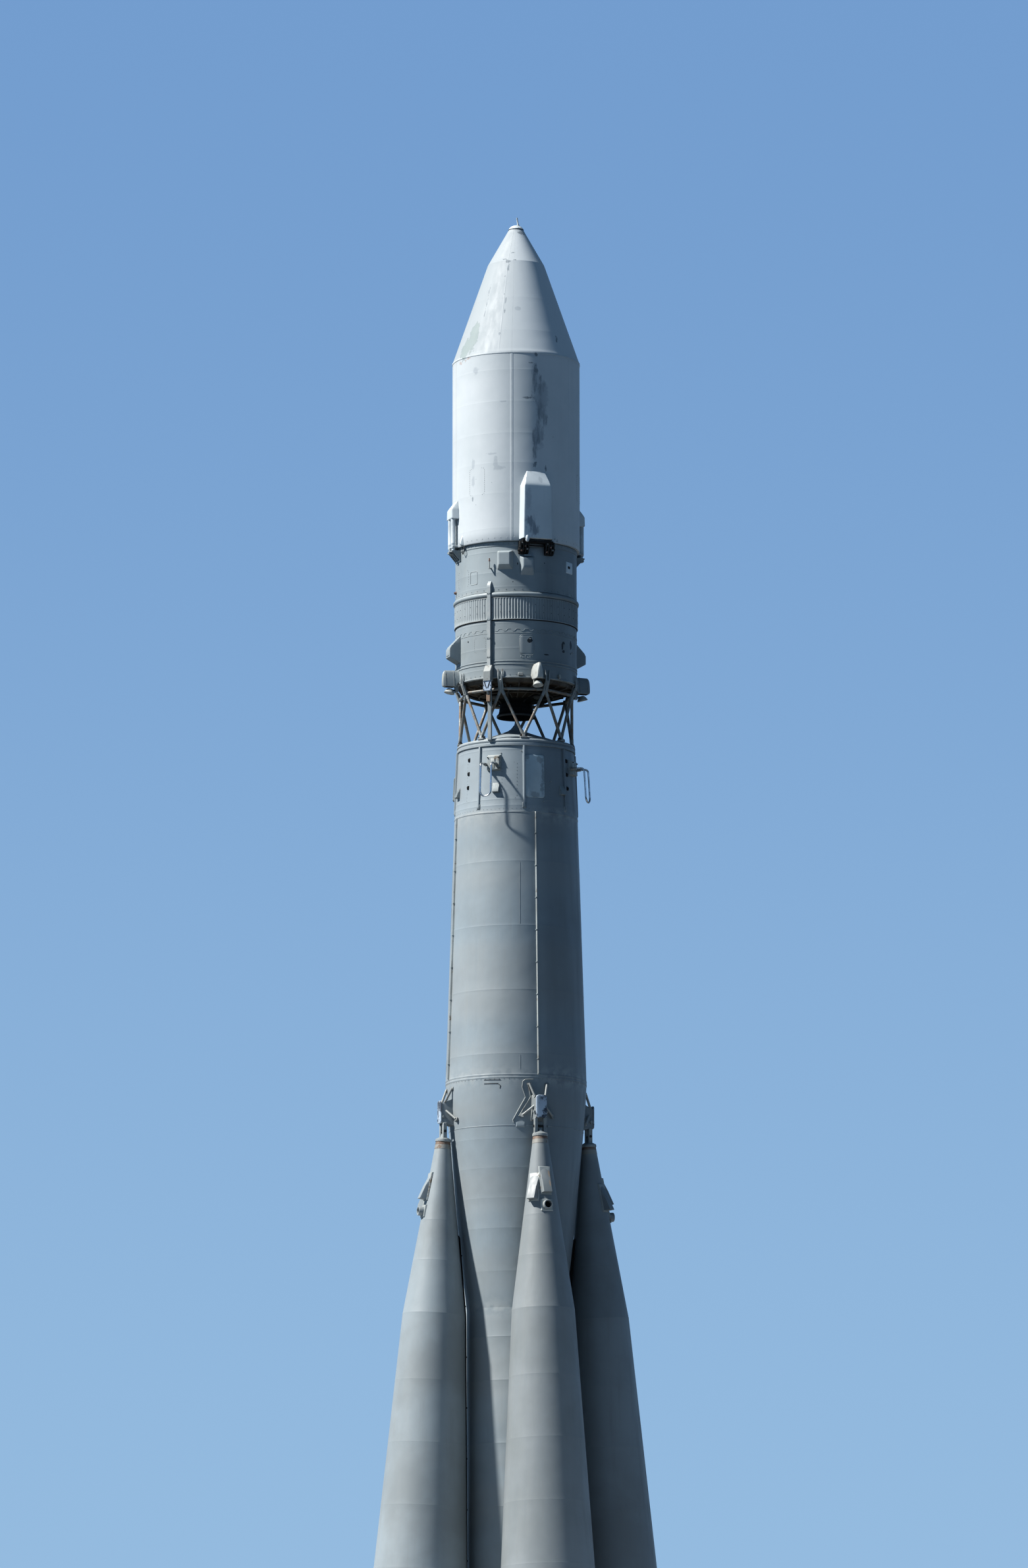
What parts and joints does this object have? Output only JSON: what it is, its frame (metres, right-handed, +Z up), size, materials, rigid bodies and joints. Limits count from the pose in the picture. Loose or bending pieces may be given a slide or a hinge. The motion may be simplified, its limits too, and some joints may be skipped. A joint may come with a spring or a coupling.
{
  "type": "space rocket",
  "caption": "Three-stage space rocket standing on its engine bells: tapered core, four leaning strap-on boosters, open truss, grey third stage and white fairing.",
  "frame": {"origin": "on the core's axis at the level the rocket stands on, the rims of the booster engine bells", "axes": "+Z up along the core's axis, -Y towards the front booster, +X towards the right booster"},
  "size_m": [10.3028, 10.3028, 38.3613],
  "materials": {
    "white_paint": "weathered white paint, flaked grey in patches",
    "grey_paint": "weathered blue-grey paint, semi-matt",
    "booster_paint": "weathered light grey paint, semi-matt",
    "dark_steel": "sooty dark metal with brown dirt",
    "truss_steel": "grey steel tube with rust",
    "fitting_steel": "grey paint over steel, rusty at the edges",
    "bright_steel": "bare polished tube",
    "bell_metal": "heat-stained bare metal"
  },
  "bodies": {
    "airframe": {"nose_cap": "white_paint", "fairing_half_right": "white_paint", "fairing_half_left": "white_paint", "fairing_pod_front": "white_paint", "fairing_pod_right": "white_paint", "fairing_pod_rear": "white_paint", "fairing_pod_left": "white_paint", "third_stage_forward_skirt": "grey_paint", "third_stage_tank_section": "grey_paint", "third_stage_engine": "dark_steel", "cable_duct": "grey_paint", "interstage_truss": "truss_steel", "core_instrument_bay": "grey_paint", "vent_hoop_front": "bright_steel", "vent_hoop_right": "bright_steel", "core_oxidizer_tank": "grey_paint", "core_waist_cone": "grey_paint", "core_fuel_tank_and_tail": "grey_paint", "core_main_engine": "bell_metal", "booster_front_nose_fitting": "fitting_steel", "booster_front_oxidizer_tank": "booster_paint", "booster_front_fuel_tank": "booster_paint", "booster_front_tail": "booster_paint", "booster_front_engine": "bell_metal", "booster_right_nose_fitting": "fitting_steel", "booster_right_oxidizer_tank": "booster_paint", "booster_right_fuel_tank": "booster_paint", "booster_right_tail": "booster_paint", "booster_right_engine": "bell_metal", "booster_rear_nose_fitting": "fitting_steel", "booster_rear_oxidizer_tank": "booster_paint", "booster_rear_fuel_tank": "booster_paint", "booster_rear_tail": "booster_paint", "booster_rear_engine": "bell_metal", "booster_left_nose_fitting": "fitting_steel", "booster_left_oxidizer_tank": "booster_paint", "booster_left_fuel_tank": "booster_paint", "booster_left_tail": "booster_paint", "booster_left_engine": "bell_metal"},
    "nozzle_front": {"steering_nozzle_front": "white_paint"},
    "nozzle_right": {"steering_nozzle_right": "white_paint"},
    "nozzle_rear": {"steering_nozzle_rear": "white_paint"},
    "nozzle_left": {"steering_nozzle_left": "white_paint"},
    "core_chamber_1": {"core_steering_chamber_1": "bell_metal"},
    "core_chamber_2": {"core_steering_chamber_2": "bell_metal"},
    "core_chamber_3": {"core_steering_chamber_3": "bell_metal"},
    "core_chamber_4": {"core_steering_chamber_4": "bell_metal"},
    "front_rudder": {"booster_front_rudder": "booster_paint"},
    "front_chamber_1": {"booster_front_steering_chamber_1": "bell_metal"},
    "front_chamber_2": {"booster_front_steering_chamber_2": "bell_metal"},
    "right_rudder": {"booster_right_rudder": "booster_paint"},
    "right_chamber_1": {"booster_right_steering_chamber_1": "bell_metal"},
    "right_chamber_2": {"booster_right_steering_chamber_2": "bell_metal"},
    "rear_rudder": {"booster_rear_rudder": "booster_paint"},
    "rear_chamber_1": {"booster_rear_steering_chamber_1": "bell_metal"},
    "rear_chamber_2": {"booster_rear_steering_chamber_2": "bell_metal"},
    "left_rudder": {"booster_left_rudder": "booster_paint"},
    "left_chamber_1": {"booster_left_steering_chamber_1": "bell_metal"},
    "left_chamber_2": {"booster_left_steering_chamber_2": "bell_metal"}
  },
  "joints": [
    {"name": "nozzle_front_swivel", "type": "hinge", "parent": "airframe", "child": "nozzle_front", "pos_m": [0, -1.3603, 28.04], "axis": [0, -1, 0], "range_deg": [-45, 45]},
    {"name": "nozzle_right_swivel", "type": "hinge", "parent": "airframe", "child": "nozzle_right", "pos_m": [1.3603, 0, 28.04], "axis": [1, 0, 0], "range_deg": [-45, 45]},
    {"name": "nozzle_rear_swivel", "type": "hinge", "parent": "airframe", "child": "nozzle_rear", "pos_m": [0, 1.3603, 28.04], "axis": [0, 1, 0], "range_deg": [-45, 45]},
    {"name": "nozzle_left_swivel", "type": "hinge", "parent": "airframe", "child": "nozzle_left", "pos_m": [-1.3603, 0, 28.04], "axis": [-1, 0, 0], "range_deg": [-45, 45]},
    {"name": "core_chamber_1_swivel", "type": "hinge", "parent": "airframe", "child": "core_chamber_1", "pos_m": [0.80631, -0.80631, 0.78], "axis": [0.7071, -0.7071, 0], "range_deg": [-45, 45]},
    {"name": "core_chamber_2_swivel", "type": "hinge", "parent": "airframe", "child": "core_chamber_2", "pos_m": [0.80631, 0.80631, 0.78], "axis": [0.7071, 0.7071, 0], "range_deg": [-45, 45]},
    {"name": "core_chamber_3_swivel", "type": "hinge", "parent": "airframe", "child": "core_chamber_3", "pos_m": [-0.80631, 0.80631, 0.78], "axis": [-0.7071, 0.7071, 0], "range_deg": [-45, 45]},
    {"name": "core_chamber_4_swivel", "type": "hinge", "parent": "airframe", "child": "core_chamber_4", "pos_m": [-0.80631, -0.80631, 0.78], "axis": [-0.7071, -0.7071, 0], "range_deg": [-45, 45]},
    {"name": "front_rudder_turn", "type": "hinge", "parent": "airframe", "child": "front_rudder", "pos_m": [0, -4.09696, 1.21266], "axis": [0, -0.9985, 0.054], "range_deg": [-25, 25]},
    {"name": "front_chamber_1_swivel", "type": "hinge", "parent": "airframe", "child": "front_chamber_1", "pos_m": [-0.83553, -3.23022, 0.43469], "axis": [-0.788, -0.6148, 0.0333], "range_deg": [-45, 45]},
    {"name": "front_chamber_2_swivel", "type": "hinge", "parent": "airframe", "child": "front_chamber_2", "pos_m": [0.83553, -3.23022, 0.43469], "axis": [0.788, -0.6148, 0.0333], "range_deg": [-45, 45]},
    {"name": "right_rudder_turn", "type": "hinge", "parent": "airframe", "child": "right_rudder", "pos_m": [4.09696, 0, 1.21266], "axis": [0.9985, 0, 0.054], "range_deg": [-25, 25]},
    {"name": "right_chamber_1_swivel", "type": "hinge", "parent": "airframe", "child": "right_chamber_1", "pos_m": [3.23022, -0.83553, 0.43469], "axis": [0.6148, -0.788, 0.0333], "range_deg": [-45, 45]},
    {"name": "right_chamber_2_swivel", "type": "hinge", "parent": "airframe", "child": "right_chamber_2", "pos_m": [3.23022, 0.83553, 0.43469], "axis": [0.6148, 0.788, 0.0333], "range_deg": [-45, 45]},
    {"name": "rear_rudder_turn", "type": "hinge", "parent": "airframe", "child": "rear_rudder", "pos_m": [0, 4.09696, 1.21266], "axis": [0, 0.9985, 0.054], "range_deg": [-25, 25]},
    {"name": "rear_chamber_1_swivel", "type": "hinge", "parent": "airframe", "child": "rear_chamber_1", "pos_m": [0.83553, 3.23022, 0.43469], "axis": [0.788, 0.6148, 0.0333], "range_deg": [-45, 45]},
    {"name": "rear_chamber_2_swivel", "type": "hinge", "parent": "airframe", "child": "rear_chamber_2", "pos_m": [-0.83553, 3.23022, 0.43469], "axis": [-0.788, 0.6148, 0.0333], "range_deg": [-45, 45]},
    {"name": "left_rudder_turn", "type": "hinge", "parent": "airframe", "child": "left_rudder", "pos_m": [-4.09696, 0, 1.21266], "axis": [-0.9985, 0, 0.054], "range_deg": [-25, 25]},
    {"name": "left_chamber_1_swivel", "type": "hinge", "parent": "airframe", "child": "left_chamber_1", "pos_m": [-3.23022, 0.83553, 0.43469], "axis": [-0.6148, 0.788, 0.0333], "range_deg": [-45, 45]},
    {"name": "left_chamber_2_swivel", "type": "hinge", "parent": "airframe", "child": "left_chamber_2", "pos_m": [-3.23022, -0.83553, 0.43469], "axis": [-0.6148, -0.788, 0.0333], "range_deg": [-45, 45]}
  ]
}
